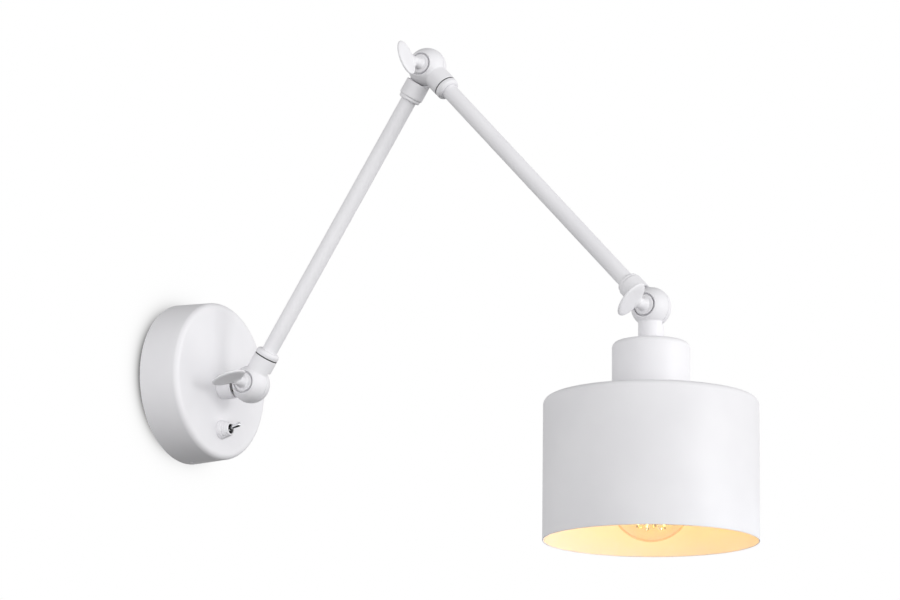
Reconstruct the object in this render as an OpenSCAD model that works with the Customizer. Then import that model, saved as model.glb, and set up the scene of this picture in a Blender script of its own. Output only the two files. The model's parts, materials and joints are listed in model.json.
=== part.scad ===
// Swing arm wall lamp: a drum canopy, three clamped ball knuckles, two swivelling arms, a drum
// shade and an E27 filament bulb.
// Origin: centre of the canopy's back face, on the wall. The wall is the plane Y = 0 and the lamp
// stands out of it towards -Y. X is the line of all the knuckle hinges. Z is up. Millimetres.

/* [Pose] */
// Angle of the lower arm above the horizontal
lower_arm_angle = 56.2; // [30:0.1:80]
// Angle of the upper arm below the horizontal
upper_arm_angle = 47.0; // [20:0.1:50]
// Direction of the base wing's long side, above the horizontal
base_wing_angle = 17; // [0:1:180]
// Direction of the elbow wing's long side, above the horizontal
elbow_wing_angle = 107; // [0:1:180]
// Direction of the head wing's long side, above the horizontal
head_wing_angle = 49; // [0:1:180]
// Angle of the switch lever above the horizontal
lever_angle = 14; // [-14:1:14]

/* [Canopy] */
// Radius of the canopy at the wall
canopy_r = 61.6; // [60:0.1:66]
// Radius of the canopy at its face
canopy_face_r = 60.4; // [59:0.1:64]
// Depth of the canopy
canopy_depth = 33.8; // [30:0.1:40]
// Thickness of the canopy's steel
canopy_wall = 1.2; // [0.8:0.1:2]
// Radius of the canopy's front edge
canopy_edge_r = 4.5; // [2:0.1:5]
// Distance from the canopy's centre down to the stub
stub_drop = 5; // [0:0.1:6]
// Distance from the canopy's centre down to the switch
switch_drop = 38; // [34:0.5:42]

/* [Knuckles] */
// Radius of a knuckle ball
ball_r = 14.5; // [13:0.1:16]
// Distance from the ball's centre to the flat under the wing or nut
ball_flat = 11.25; // [10.8:0.05:12]
// Radius of a knuckle neck
neck_r = 9.25; // [8.5:0.05:10]
// Radius swept clear round the ball by the other half's neck
sweep_r = 16.5; // [16:0.1:17.5]
// Gap between the two halves of a ball
seam = 0.3; // [0.2:0.05:0.6]
// Distance from the wall to the base knuckle's centre
base_reach = 60.4; // [56:0.1:66]

/* [Arms] */
// Distance between the base and the elbow knuckle's centres
lower_arm_length = 276.6; // [200:0.1:400]
// Distance between the elbow and the head knuckle's centres
upper_arm_length = 280.3; // [200:0.1:400]
// Outer radius of an arm tube
tube_r = 6; // [5.8:0.1:7]
// Wall of an arm tube
tube_wall = 0.95; // [0.8:0.05:0.95]

/* [Shade] */
// Outer radius of the shade
shade_r = 76.9; // [70:0.1:90]
// Distance from the head knuckle's centre to the shade's top
shade_top = 67; // [66:0.5:70]
// Distance from the head knuckle's centre to the shade's mouth
shade_mouth = 169.1; // [168:0.1:200]
// Thickness of the shade's steel
shade_wall = 1; // [0.8:0.1:1.5]
// Radius of the shade's top edge
shade_edge_r = 5; // [3:0.5:8]
// Outer radius of the cap above the shade
cap_r = 28; // [26:0.5:32]
// Distance from the head knuckle's centre to the cap's top
cap_top = 25.8; // [25:0.1:27]
// Radius of the cap's top edge
cap_edge_r = 4.5; // [3:0.5:6]

/* [Bulb] */
// Largest radius of the bulb
bulb_r = 29.5; // [28:0.5:32]
// Distance from the head knuckle's centre to the bulb's widest place
bulb_centre = 140; // [138:0.5:142]

/* [Hidden] */
$fn = 96;
eps = 0.01;
// Places along a neck, measured from its ball's centre
neck_end = 23.6;                // end of a neck that carries a swivel
swivel_washer_t = 0.8;
collar_start = neck_end + swivel_washer_t;
collar_length = 4.6;
collar_floor = 1;               // collar metal under the tube's end
fixed_neck_end = 26;            // end of the full-width part of a neck screwed to a tube
fixed_neck_ring = 28.8;         // end of the narrower ring beyond it
tube_seat = 24.2;               // where a tube bottoms in a fixed neck
post_r = 5;                     // post round the clamping screw
post_end = 7.2;                 // depth of the wire space inside each half ball
cavity_r = 12;
screw_r = 2.5;                  // M5 clamping screw
screw_hole_r = 2.8;
nipple_r = 5;                   // M10 x 1 threaded nipple
nipple_bore_r = 3.6;
thread_gap = 0.05;              // radial clearance of a threaded or running fit
nipple_hole_r = nipple_r + thread_gap;
nipple_depth = 10;              // length of nipple inside a neck
wire_hole_r = 4.2;
cable_r = 2.4;
cable_inset = sweep_r + 0.5;    // end of a straight cable, from a ball's centre
recess_r = 8.6;                 // recess for the wing's disc
recess_floor = 8.6;
spring_washer_t = 0.7;
nut_flats = 8;                  // M5 nut across flats
nut_t = 4;
canopy_inside = canopy_depth - canopy_wall;
base_centre = [0, -base_reach, -stub_drop];
elbow_centre = base_centre
    + lower_arm_length*[0, -cos(lower_arm_angle), sin(lower_arm_angle)];
head_centre = elbow_centre
    + upper_arm_length*[0, -cos(upper_arm_angle), -sin(upper_arm_angle)];

// Wall bracket
bracket_w = 26;
bracket_t = 1.5;
bracket_reach = 59.4;           // outer face of the end lugs
lug_w = 12;
lug_depth = 13;
cover_screw_depth = 8;          // distance of the grub screws from the wall
slot_offset = 34;
slot_r = 2.25;
slot_length = 16;
wire_entry_r = 8;               // hole in the middle for the supply wires
earth_place = [-8, 0, -19];

// Terminal block
block = [30, 13.8, 15.5];
block_low = 9.6;
pole_pitch = 9.5;
pole_screw_offset = 4.2;        // of the two screws on each pole, from the block's middle

// Switch
lever_pivot_depth = 39.2;
pivot_pin_r = 0.5;
collar_height = 9.2;
bushing_r = 5.9;
switch_centre = [0, 0, -switch_drop];

// Lampholder and bulb, distances down from the head knuckle's centre
holder_r = 19.5;
holder_split = 46;
holder_end = 90;
flange_r = 22.5;
flange_low = shade_top - 0.1;
sleeve_r = 13.8;
bulb_tip = 63.6;
bulb_base_r = 13.2;
bulb_base_start = 68;
bulb_base_end = 92;
bulb_neck_r = 12.6;
glass_t = 0.7;

// Wing screws
paddle_centre = 30;             // distance of the paddle's centre from the ball's centre
paddle_half = [10.4, 14];       // half its size along the screw and across it
paddle_t = 3;

// Wires, as places along Y and along the canopy
core_r = 0.9;
block_back = -bracket_t - 0.05;
pole_depth = block_back - block[1]/2;
pole_end = block_low + 4;       // how far a core reaches into the terminal block
cable_split = 17;               // distance from the wall at which the sheath ends
tab_depth = -8.6;
core_end = -cable_split + 0.1;  // the three cores leave the sheath here, straight out at first
core_top = [0, core_end, -stub_drop + 1.15];
core_left = [-1, core_end, -stub_drop - 0.6];
core_right = [1, core_end, -stub_drop - 0.6];
core_lead = [0, 1.5, 0];        // the straight stretch

// Colours
paint = [0.93, 0.93, 0.94];
steel = [0.75, 0.75, 0.77];
black = [0.05, 0.05, 0.05];
brass = [0.80, 0.65, 0.35];
cream = [0.92, 0.90, 0.84];
moulding = [0.15, 0.15, 0.15];
sheath = [0.85, 0.85, 0.85];

// ---- Shared shapes -----------------------------------------------------------------------------

// Points along an arc about [cx, cy]
function arc(cx, cy, r, from, to, steps = 8) =
    [for (i = [0:steps]) let (a = from + (to - from)*i/steps) [cx + r*cos(a), cy + r*sin(a)]];

function oval(a, b, steps = 48) =
    [for (i = [0:steps - 1]) [a*cos(360*i/steps), b*sin(360*i/steps)]];

// Turns +Z to the direction that is a degrees above the horizontal, away from the wall
module aim(a) {
    rotate([90 - a, 0, 0]) children();
}

module at_base() {
    translate(base_centre) children();
}

module at_elbow() {
    translate(elbow_centre) children();
}

module at_head() {
    translate(head_centre) children();
}

// Frames whose +Z runs along each arm from its lower numbered knuckle
module along_lower_arm() {
    at_base() aim(lower_arm_angle) children();
}

module along_upper_arm() {
    at_elbow() aim(-upper_arm_angle) children();
}

// Frame of the head: +Z runs straight down from the head knuckle
module down_head() {
    at_head() aim(-90) children();
}

// Frame on the canopy's face: +Z runs out of the wall
module out_of_wall() {
    rotate([90, 0, 0]) children();
}

module ring(r_out, r_in, h) {
    difference() {
        cylinder(r = r_out, h = h);
        translate([0, 0, -eps]) cylinder(r = r_in, h = h + 2*eps);
    }
}

module hex_nut(flats, hole_r, h) {
    difference() {
        cylinder(r = flats/sqrt(3), h = h, $fn = 6);
        translate([0, 0, -eps]) cylinder(r = hole_r, h = h + 2*eps);
    }
}

// Point a share t of the way along span i of a smooth curve through the points
function along(points, i, t) = let (
    last = len(points) - 1,
    a = points[max(i - 1, 0)], b = points[i], c = points[i + 1], d = points[min(i + 2, last)]
) 0.5*(2*b + (c - a)*t + (2*a - 5*b + 4*c - d)*t*t + (3*b - a - 3*c + d)*t*t*t);

// Round wire along the smooth curve through the points, which never runs along the side direction
module wire(points, r, side, sides = 8, steps = 4) {
    path = concat([for (i = [0:len(points) - 2], k = [0:steps - 1]) along(points, i, k/steps)],
        [points[len(points) - 1]]);
    last = len(path) - 1;
    rings = [for (i = [0:last]) let (
        ahead = path[min(i + 1, last)] - path[max(i - 1, 0)], u = cross(ahead, side),
        v = cross(ahead, u)
    ) for (k = [0:sides - 1]) let (a = 360*k/sides)
        path[i] + r*(cos(a)*u/norm(u) + sin(a)*v/norm(v))];
    walls = [for (i = [0:last - 1], k = [0:sides - 1]) let (
        a = i*sides + k, b = i*sides + (k + 1)%sides
    ) [a, b, b + sides, a + sides]];
    polyhedron(rings, concat(walls,
        [[for (k = [sides - 1:-1:0]) k], [for (k = [0:sides - 1]) last*sides + k]]));
}

// ---- Knuckle -----------------------------------------------------------------------------------

// Solid of revolution of a neck that carries a swivel
module swivel_neck() {
    rotate_extrude()
        polygon(concat([[0, 0], [neck_r, 0]],
            arc(neck_r - 0.5, neck_end - 0.5, 0.5, 0, 90, 4), [[0, neck_end]]));
}

// Solid of revolution of a neck that is screwed to a tube, with its narrower end ring
module fixed_neck() {
    ring_r = neck_r - 0.9;
    rotate_extrude()
        polygon(concat([[0, 0], [neck_r, 0]],
            arc(neck_r - 0.9, fixed_neck_end - 0.9, 0.9, 0, 70, 5), [[ring_r - 0.5, fixed_neck_end]],
            [[ring_r - 0.5, fixed_neck_end + 0.3], [ring_r, fixed_neck_end + 0.6]],
            arc(ring_r - 1.2, fixed_neck_ring - 1.2, 1.2, 0, 90, 5), [[0, fixed_neck_ring]]));
}

// Plain neck of a given length
module plain_neck(length) {
    cylinder(r = neck_r, h = length);
}

// One half of a ball knuckle, on the -X side, with its neck (the child shape) along +Z
module ball_half() {
    difference() {
        union() {
            intersection() {
                sphere(r = ball_r);
                translate([-ball_flat, -ball_r, -ball_r])
                    cube([ball_flat - seam/2, 2*ball_r, 2*ball_r]);
            }
            difference() {
                children();
                intersection() {
                    sphere(r = sweep_r);
                    translate([-seam/2, -sweep_r, -sweep_r])
                        cube([2*sweep_r, 2*sweep_r, 2*sweep_r]);
                }
            }
        }
        wire_space();
        translate([0, 0, post_r + 1]) cylinder(r = wire_hole_r, h = cap_top);
        rotate([0, -90, 0]) translate([0, 0, -eps]) cylinder(r = screw_hole_r, h = ball_r);
    }
}

// Hollow inside a half ball, round the clamping screw's post
module wire_space() {
    difference() {
        intersection() {
            sphere(r = cavity_r);
            translate([-post_end, -cavity_r, -cavity_r])
                cube([post_end, 2*cavity_r, 2*cavity_r]);
        }
        rotate([0, -90, 0]) cylinder(r = post_r, h = ball_r);
    }
}

// Threaded hole for a nipple, at the end of a neck
module nipple_hole(from) {
    translate([0, 0, from - nipple_depth]) cylinder(r = nipple_hole_r, h = 2*nipple_depth);
}

// Half ball with the recess for a wing screw
module front_half() {
    difference() {
        ball_half() children();
        rotate([0, -90, 0]) translate([0, 0, recess_floor]) cylinder(r = recess_r, h = ball_r);
    }
}

// Half ball with the hexagonal pocket for the clamping nut, on the +X side
module rear_half() {
    mirror([1, 0, 0]) difference() {
        ball_half() children();
        rotate([0, -90, 0]) translate([0, 0, ball_flat - nut_t])
            cylinder(r = (nut_flats + 0.3)/sqrt(3), h = ball_r, $fn = 6);
    }
}

module front_swivel_half() {
    difference() {
        front_half() swivel_neck();
        nipple_hole(neck_end);
    }
}

module rear_fixed_half() {
    difference() {
        rear_half() fixed_neck();
        nipple_hole(tube_seat);
        translate([0, 0, tube_seat]) cylinder(r = tube_r + thread_gap, h = nipple_depth);
    }
}

module clamp_nut() {
    rotate([0, 90, 0]) translate([0, 0, ball_flat - nut_t + 0.05])
        hex_nut(nut_flats, screw_r + thread_gap, nut_t - 0.05);
}

module friction_washer() {
    thickness = seam - 0.04;
    rotate([0, 90, 0]) translate([0, 0, -thickness/2]) ring(post_r, screw_hole_r, thickness);
}

module spring_washer() {
    rotate([0, -90, 0]) translate([0, 0, recess_floor])
        ring(post_r + 1.2, screw_hole_r, spring_washer_t);
}

// Oval blade of a wing screw, with its long side along Z
module paddle() {
    edge = 0.7;
    translate([-paddle_centre, 0, 0]) rotate([90, 0, 0]) {
        translate([0, 0, -paddle_t/2 + edge]) linear_extrude(paddle_t - 2*edge)
            polygon(oval(paddle_half[0], paddle_half[1]));
        translate([0, 0, -paddle_t/2]) linear_extrude(paddle_t)
            polygon(oval(paddle_half[0] - edge, paddle_half[1] - edge));
    }
}

// Wing screw with its screw along X
module wing_screw() {
    disc_start = recess_floor + spring_washer_t + 0.05;
    disc_end = ball_flat + 0.5;
    disc_r = recess_r - 1.2;
    boss_r = 4.6;
    boss_end = paddle_centre - paddle_half[0] + 2;
    color(paint) union() {
        rotate([0, -90, 0]) rotate_extrude() polygon(concat(
            [[0, disc_start], [disc_r, disc_start]],
            arc(disc_r - 0.6, disc_end - 0.6, 0.6, 0, 90, 4),
            arc(boss_r + 1.2, disc_end + 1.2, 1.2, 270, 180, 5),
            [[boss_r, boss_end - 4]],
            arc(boss_r - 2.6, boss_end - 4, 2.6, 0, 90, 8), [[0, boss_end - 1.4]]));
        rotate([0, -90, 0]) translate([0, 0, -ball_flat - 0.4])
            cylinder(r = screw_r, h = ball_flat + 0.4 + disc_start + eps);
        paddle();
    }
}

// ---- Canopy ------------------------------------------------------------------------------------

// Outline of the canopy's shell, radius against distance from the wall
function canopy_outline(inset) = let (
    edge = canopy_edge_r - inset, face = canopy_depth - inset,
    face_r = canopy_face_r - inset
) concat([[canopy_r - inset, 0]], arc(face_r - edge, face - edge, edge, 0, 90, 10));

module canopy_cover() {
    color(paint) difference() {
        out_of_wall() difference() {
            rotate_extrude($fn = 180) polygon(concat([[0, 0]], canopy_outline(0), [[0, canopy_depth]]));
            translate([0, 0, -eps]) rotate_extrude($fn = 180)
                polygon(concat([[0, 0]], canopy_outline(canopy_wall), [[0, canopy_inside]]));
        }
        translate([0, 0, -stub_drop]) out_of_wall() cylinder(r = nipple_r + 0.3, h = 2*canopy_depth);
        translate(switch_centre) out_of_wall() cylinder(r = bushing_r + 0.15, h = 2*canopy_depth);
        translate([0, -cover_screw_depth, -canopy_r - 1]) cylinder(r = 1.7, h = 2*canopy_r + 2);
    }
}

module wall_bracket() {
    slot_run = slot_length/2 - slot_r;
    color(steel) difference() {
        union() {
            translate([-bracket_w/2, -bracket_t, -bracket_reach])
                cube([bracket_w, bracket_t, 2*bracket_reach]);
            for (side = [0, 1]) mirror([0, 0, side])
                translate([-lug_w/2, -lug_depth, bracket_reach - bracket_t])
                    cube([lug_w, lug_depth, bracket_t]);
        }
        // cut the bar's corners to the canopy's round inside
        out_of_wall() translate([0, 0, -eps]) difference() {
            cylinder(r = 2*canopy_r, h = bracket_t + 2*eps);
            translate([0, 0, -eps]) cylinder(r = bracket_reach + 0.4, h = bracket_t + 4*eps);
        }
        for (side = [0, 1]) mirror([0, 0, side]) translate([0, eps, slot_offset]) out_of_wall() {
            for (end = [-1, 1]) translate([0, end*slot_run, 0])
                cylinder(r = slot_r, h = bracket_t + 2*eps);
            translate([-slot_r, -slot_run, 0]) cube([2*slot_r, 2*slot_run, bracket_t + 2*eps]);
        }
        translate([0, eps, 0]) out_of_wall() cylinder(r = wire_entry_r, h = bracket_t + 2*eps);
        translate(earth_place + [0, eps, 0]) out_of_wall()
            cylinder(r = 1.65, h = bracket_t + 2*eps);
        translate([0, -cover_screw_depth, -canopy_r]) cylinder(r = 1.55, h = 2*canopy_r);
    }
}

// Two M3 grub screws, with hexagon sockets, through the cover into the bracket's lugs
module cover_screws() {
    screw_length = 5;
    head_end = canopy_r - 0.8;
    color(steel) for (side = [0, 1]) mirror([0, 0, side])
        translate([0, -cover_screw_depth, head_end - screw_length]) difference() {
            cylinder(r = 1.5, h = screw_length);
            translate([0, 0, screw_length - 2]) cylinder(r = 0.85, h = 3, $fn = 6);
        }
}

// Three-pole terminal block on the bracket
module terminal_block() {
    color(cream) translate([-block[0]/2, block_back - block[1], block_low])
        difference() {
            cube(block);
            for (pole = [-1:1]) translate([block[0]/2 + pole*pole_pitch, 0, 0]) {
                translate([0, block[1]/2, -eps]) cylinder(r = 1.9, h = block[2] + 2*eps);
                for (side = [-1, 1]) translate([0, -eps, block[2]/2 + side*pole_screw_offset])
                    rotate([-90, 0, 0]) cylinder(r = 2.1, h = block[1]/2);
            }
            for (gap = [-0.5, 0.5]) translate([block[0]/2 + gap*pole_pitch - 0.6, -eps, -eps])
                cube([1.2, block[1] - 3, block[2] + 2*eps]);
        }
}

// Slotted clamping screws of the terminal block
module terminal_screws() {
    top = block_back - block[1];
    color(brass) for (pole = [-1:1], side = [-1, 1])
        translate([pole*pole_pitch, top + 1, block_low + block[2]/2 + side*pole_screw_offset])
            rotate([-90, 0, 0]) difference() {
                cylinder(r = 1.95, h = 3.4);
                translate([-2, -0.3, -eps]) cube([4, 0.6, 0.8]);
            }
}

// Earth screw with its washer, on the bracket
module earth_screw() {
    color(brass) translate(earth_place) out_of_wall() difference() {
        union() {
            translate([0, 0, 0.1]) cylinder(r = 1.55, h = 6);
            translate([0, 0, bracket_t + 0.05]) cylinder(r = 4, h = 0.8);
            translate([0, 0, bracket_t + 2.85]) cylinder(r = 3, h = 2);
        }
        translate([-4, -0.4, bracket_t + 4]) cube([8, 0.8, 4]);
    }
}

module stub_nipple() {
    color(brass) translate([0, 0, -stub_drop]) out_of_wall()
        translate([0, 0, canopy_depth - 9]) ring(nipple_r, nipple_bore_r, 9 + nipple_depth - 0.3);
}

module stub_lock_nut() {
    color(steel) translate([0, 0, -stub_drop]) out_of_wall()
        translate([0, 0, canopy_inside - 3.05]) hex_nut(14, nipple_hole_r, 3);
}

// ---- Toggle switch -----------------------------------------------------------------------------

module switch_body() {
    size = [13, 20];
    back = 12;
    color(moulding) translate(switch_centre) out_of_wall() union() {
        translate([-size[0]/2, -size[1]/2, back]) cube([size[0], size[1], 15.4]);
        for (tab = [-1, 1]) translate([-1.5, tab*5 - 0.4, back - 5]) cube([3, 0.8, 5 + eps]);
    }
}

// Threaded bushing, whose narrow nose holds the ends of the lever's pivot pin
module switch_bushing() {
    start = 27.4;
    nose_end = canopy_depth + collar_height - 2.2;
    color(steel) translate(switch_centre) out_of_wall() difference() {
        union() {
            translate([0, 0, start]) cylinder(r = bushing_r, h = canopy_depth + 4 - start);
            translate([0, 0, start]) cylinder(r = 3.8, h = nose_end - start);
        }
        translate([0, 0, start + 2.5]) cylinder(r = 3.1, h = 20);
        translate([-bushing_r, 0, lever_pivot_depth]) rotate([0, 90, 0])
            cylinder(r = pivot_pin_r + thread_gap, h = 2*bushing_r);
    }
}

module switch_nut() {
    color(steel) translate(switch_centre) out_of_wall()
        translate([0, 0, canopy_inside - 2.55]) hex_nut(14, bushing_r + thread_gap, 2.5);
}

// Ribbed tapering collar nut on the canopy's face
module switch_collar() {
    base_r = 7.4;
    tip_r = 4.9;
    ribs = 5;
    rib = collar_height/ribs;
    taper = (base_r - tip_r)/ribs;
    outline = [for (i = [0:ribs - 1]) each [
        [base_r - i*taper, i*rib + 0.35], [base_r - i*taper - 0.1, (i + 1)*rib - 0.35],
        [base_r - i*taper - 0.45, (i + 1)*rib]
    ]];
    color(paint) translate(switch_centre) out_of_wall() translate([0, 0, canopy_depth + 0.05])
        difference() {
            rotate_extrude() polygon(concat([[0, 0], [base_r - 0.4, 0]], outline,
                [[0, collar_height]]));
            translate([0, 0, -eps]) cylinder(r = bushing_r + thread_gap, h = 4.2);
            cylinder(r = 3.9, h = 2*collar_height);
        }
}

// Black seal disc at the collar's mouth, slotted for the lever
module switch_seal() {
    slot_half = 1.6;
    slot_side = 1.9;
    color(black) translate(switch_centre) out_of_wall()
        translate([0, 0, canopy_depth + collar_height - 2]) difference() {
            cylinder(r = 3.85, h = 1.2);
            for (end = [-1, 1]) translate([0, end*slot_half, -eps])
                cylinder(r = slot_side, h = 2);
            translate([-slot_side, -slot_half, -eps]) cube([2*slot_side, 2*slot_half, 2]);
        }
}

module switch_lever() {
    ball = 2.7;
    shank_r = 1.4;
    tip_r = 1.75;
    reach = 12.8;
    pin_half = 3.6;
    color(steel) translate([0, -lever_pivot_depth, -switch_drop]) aim(lever_angle) {
        rotate_extrude() polygon(concat(arc(0, 0, ball, -90, acos(shank_r/ball), 16),
            arc(0, reach - tip_r, tip_r, 0, 90, 8)));
        translate([-pin_half, 0, 0]) rotate([0, 90, 0]) cylinder(r = pivot_pin_r, h = 2*pin_half);
    }
}

// ---- Wires in the canopy -----------------------------------------------------------------------

// From the terminal block to the switch, and from the switch to the cable
module live_wires() {
    upper_tab = -switch_drop + 5;
    lower_tab = -switch_drop - 5;
    color([0.4, 0.22, 0.1]) {
        wire([[pole_pitch, pole_depth, pole_end], [pole_pitch, pole_depth, 6], [14.5, -8, -6],
            [16.5, -7.5, -20], [12, -7.3, -31], [5, -8, upper_tab - 0.2],
            [1.55, tab_depth, upper_tab]], core_r, [0, 1, 0]);
        wire([core_right, core_right + core_lead, [2, -13, -7], [6, -10.6, -13.5],
            [10.5, -10.4, -26], [10.8, -10, -38], [7, -9, lower_tab - 0.2],
            [1.55, tab_depth, lower_tab]], core_r, [1, 0, 1]);
    }
}

module neutral_wire() {
    color([0.1, 0.25, 0.6])
        wire([[0, pole_depth, pole_end], [0, pole_depth, 7], [-0.2, -11, -0.2],
            core_top + [0, 3.2, 0.5], core_top + core_lead, core_top], core_r, [1, 0, 0]);
}

// From the terminal block and from the cable to the earth screw
module earth_wire() {
    ring_depth = -bracket_t - 1.85;
    color([0.35, 0.6, 0.2]) {
        wire([[-pole_pitch, pole_depth, pole_end], [-pole_pitch, pole_depth, 6], [-9.2, -7, -4],
            [-8.7, -4.5, -11], [-8.2, ring_depth, -16]], core_r, [1, 0, 0]);
        wire([core_left, core_left + core_lead, [-2.4, -12.5, -5.8], [-5.3, -8, -8.4],
            [-5.2, -4.5, -12], [-5.9, ring_depth, -16.4]], core_r, [1, 0, 0]);
    }
}

// Sheathed cable through the stub into the base knuckle
module base_cable() {
    color(sheath) translate([0, 0, -stub_drop]) out_of_wall()
        translate([0, 0, cable_split]) cylinder(r = cable_r, h = base_reach - cable_inset - cable_split);
}

// ---- Base knuckle ------------------------------------------------------------------------------

module base_ball_rear() {
    stub_length = base_reach - canopy_depth - 0.05;
    color(paint) at_base() aim(180) difference() {
        rear_half() plain_neck(stub_length);
        nipple_hole(stub_length);
    }
}

module base_clamp_nut() {
    color(steel) at_base() aim(180) clamp_nut();
}

module base_friction_washer() {
    color(black) at_base() friction_washer();
}

module base_ball_front() {
    color(paint) along_lower_arm() front_swivel_half();
}

module base_spring_washer() {
    color(steel) at_base() spring_washer();
}

module base_wing_screw() {
    at_base() aim(base_wing_angle) wing_screw();
}

// ---- Arms --------------------------------------------------------------------------------------

module swivel_washer() {
    color(black) translate([0, 0, neck_end + 0.02])
        ring(neck_r - 0.2, nipple_hole_r, swivel_washer_t - 0.04);
}

// Round-edged collar between a swivel and its tube
module arm_collar() {
    collar_r = neck_r - 0.1;
    color(paint) translate([0, 0, collar_start]) difference() {
        rotate_extrude() polygon(concat([[0, 0], [collar_r - 0.3, 0], [collar_r, 0.3]],
            arc(collar_r - 2.4, collar_length - 2.4, 2.4, 0, 90, 10), [[0, collar_length]]));
        translate([0, 0, -eps]) cylinder(r = nipple_hole_r, h = 2*collar_length);
        translate([0, 0, collar_floor]) cylinder(r = tube_r + thread_gap, h = collar_length);
    }
}

// Hollow threaded nipple on which a swivel turns
module arm_nipple() {
    color(brass) translate([0, 0, neck_end - nipple_depth + 1]) ring(nipple_r, nipple_bore_r, 24);
}

// Tube of an arm whose knuckles are the given distance apart
module arm_tube(length) {
    start = collar_start + collar_floor + 0.05;
    color(paint) translate([0, 0, start])
        ring(tube_r, tube_r - tube_wall + 0.05, length - tube_seat - 0.1 - start);
}

module arm_cable(length) {
    color(sheath) translate([0, 0, cable_inset])
        cylinder(r = cable_r, h = length - 2*cable_inset);
}

module lower_swivel_washer() {
    along_lower_arm() swivel_washer();
}

module lower_arm_collar() {
    along_lower_arm() arm_collar();
}

module lower_arm_nipple() {
    along_lower_arm() arm_nipple();
}

module lower_arm_tube() {
    along_lower_arm() arm_tube(lower_arm_length);
}

module lower_arm_cable() {
    along_lower_arm() arm_cable(lower_arm_length);
}

module upper_swivel_washer() {
    along_upper_arm() swivel_washer();
}

module upper_arm_collar() {
    along_upper_arm() arm_collar();
}

module upper_arm_nipple() {
    along_upper_arm() arm_nipple();
}

module upper_arm_tube() {
    along_upper_arm() arm_tube(upper_arm_length);
}

module upper_arm_cable() {
    along_upper_arm() arm_cable(upper_arm_length);
}

// ---- Elbow knuckle -----------------------------------------------------------------------------

module elbow_ball_rear() {
    color(paint) at_elbow() aim(lower_arm_angle + 180) rear_fixed_half();
}

module elbow_clamp_nut() {
    color(steel) at_elbow() aim(lower_arm_angle + 180) clamp_nut();
}

module elbow_friction_washer() {
    color(black) at_elbow() friction_washer();
}

module elbow_ball_front() {
    color(paint) along_upper_arm() front_swivel_half();
}

module elbow_spring_washer() {
    color(steel) at_elbow() spring_washer();
}

module elbow_wing_screw() {
    at_elbow() aim(elbow_wing_angle) wing_screw();
}

// ---- Head knuckle ------------------------------------------------------------------------------

module head_ball_rear() {
    color(paint) at_head() aim(180 - upper_arm_angle) rear_fixed_half();
}

module head_clamp_nut() {
    color(steel) at_head() aim(180 - upper_arm_angle) clamp_nut();
}

module head_friction_washer() {
    color(black) at_head() friction_washer();
}

module head_ball_front() {
    neck_length = cap_top - 0.05;
    color(paint) down_head() difference() {
        front_half() plain_neck(neck_length);
        nipple_hole(neck_length);
    }
}

module head_spring_washer() {
    color(steel) at_head() spring_washer();
}

module head_wing_screw() {
    at_head() aim(head_wing_angle) wing_screw();
}

// ---- Shade -------------------------------------------------------------------------------------

module head_nipple() {
    start = cap_top - nipple_depth + 0.5;
    color(brass) down_head() translate([0, 0, start]) ring(nipple_r, nipple_bore_r, 36 - start);
}

module head_cable() {
    color(sheath) down_head() translate([0, 0, cable_inset])
        cylinder(r = cable_r, h = 42 - cable_inset);
}

// Drum outline, radius against distance down
function drum_outline(r, top, bottom, edge) =
    concat(arc(r - edge, top + edge, edge, 270, 360, 10), [[r, bottom]]);

module drum(r, top, bottom, edge, wall) {
    difference() {
        rotate_extrude($fn = 180)
            polygon(concat([[0, bottom], [0, top]], drum_outline(r, top, bottom, edge)));
        rotate_extrude($fn = 180) polygon(concat([[0, bottom + 1], [0, top + wall]],
            drum_outline(r - wall, top + wall, bottom + 1, edge - wall)));
    }
}

module shade_cap() {
    color(paint) down_head() difference() {
        drum(cap_r, cap_top, shade_top - 0.05, cap_edge_r, 1.2);
        translate([0, 0, cap_top - 1]) cylinder(r = nipple_r + 0.2, h = 4);
    }
}

module shade() {
    color(paint) down_head() difference() {
        drum(shade_r, shade_top, shade_mouth, shade_edge_r, shade_wall);
        translate([0, 0, shade_top - 1]) cylinder(r = holder_r + 0.4, h = 4);
    }
}

// Threaded ring that clamps the shade up to the lampholder's flange
module shade_ring() {
    start = shade_top + shade_wall + 0.05;
    grip_r = 22;
    rim_t = 2;
    height = 8;
    color(moulding) down_head() translate([0, 0, start]) difference() {
        union() {
            cylinder(r = grip_r + 1.5, h = rim_t);
            cylinder(r = grip_r, h = height);
            for (a = [0:15:345]) rotate(a) translate([grip_r, 0, rim_t])
                cylinder(r = 0.9, h = height - rim_t, $fn = 24);
        }
        translate([0, 0, -eps]) cylinder(r = holder_r + thread_gap, h = height + 2*eps);
    }
}

// ---- Lampholder --------------------------------------------------------------------------------

module lampholder_dome() {
    start = cap_top + 1.25;
    color(moulding) down_head() difference() {
        rotate_extrude() polygon(concat([[0, start], [8, start], [9.5, start + 4]],
            arc(holder_r - 7.5, start + 12, 7, 270, 360, 8),
            [[holder_r - 0.5, holder_split - 0.05], [0, holder_split - 0.05]]));
        rotate_extrude() polygon([[0, start + 9], [11, start + 9], [holder_r - 2.5, start + 13],
            [holder_r - 2.5, holder_split + 1], [0, holder_split + 1]]);
        cylinder(r = nipple_hole_r, h = holder_split);
    }
}

module lampholder_shell() {
    color(moulding) down_head() difference() {
        union() {
            translate([0, 0, holder_split]) cylinder(r = holder_r, h = holder_end - holder_split);
            translate([0, 0, flange_low - 3]) cylinder(r = flange_r, h = 3);
        }
        translate([0, 0, holder_split + 9]) cylinder(r = sleeve_r + 0.3, h = 60);
        translate([0, 0, holder_split - 1]) cylinder(r = 6, h = 12);
    }
}

module lampholder_sleeve() {
    color(brass) down_head() translate([0, 0, 62]) ring(sleeve_r, sleeve_r - 0.5, 26);
}

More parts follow.
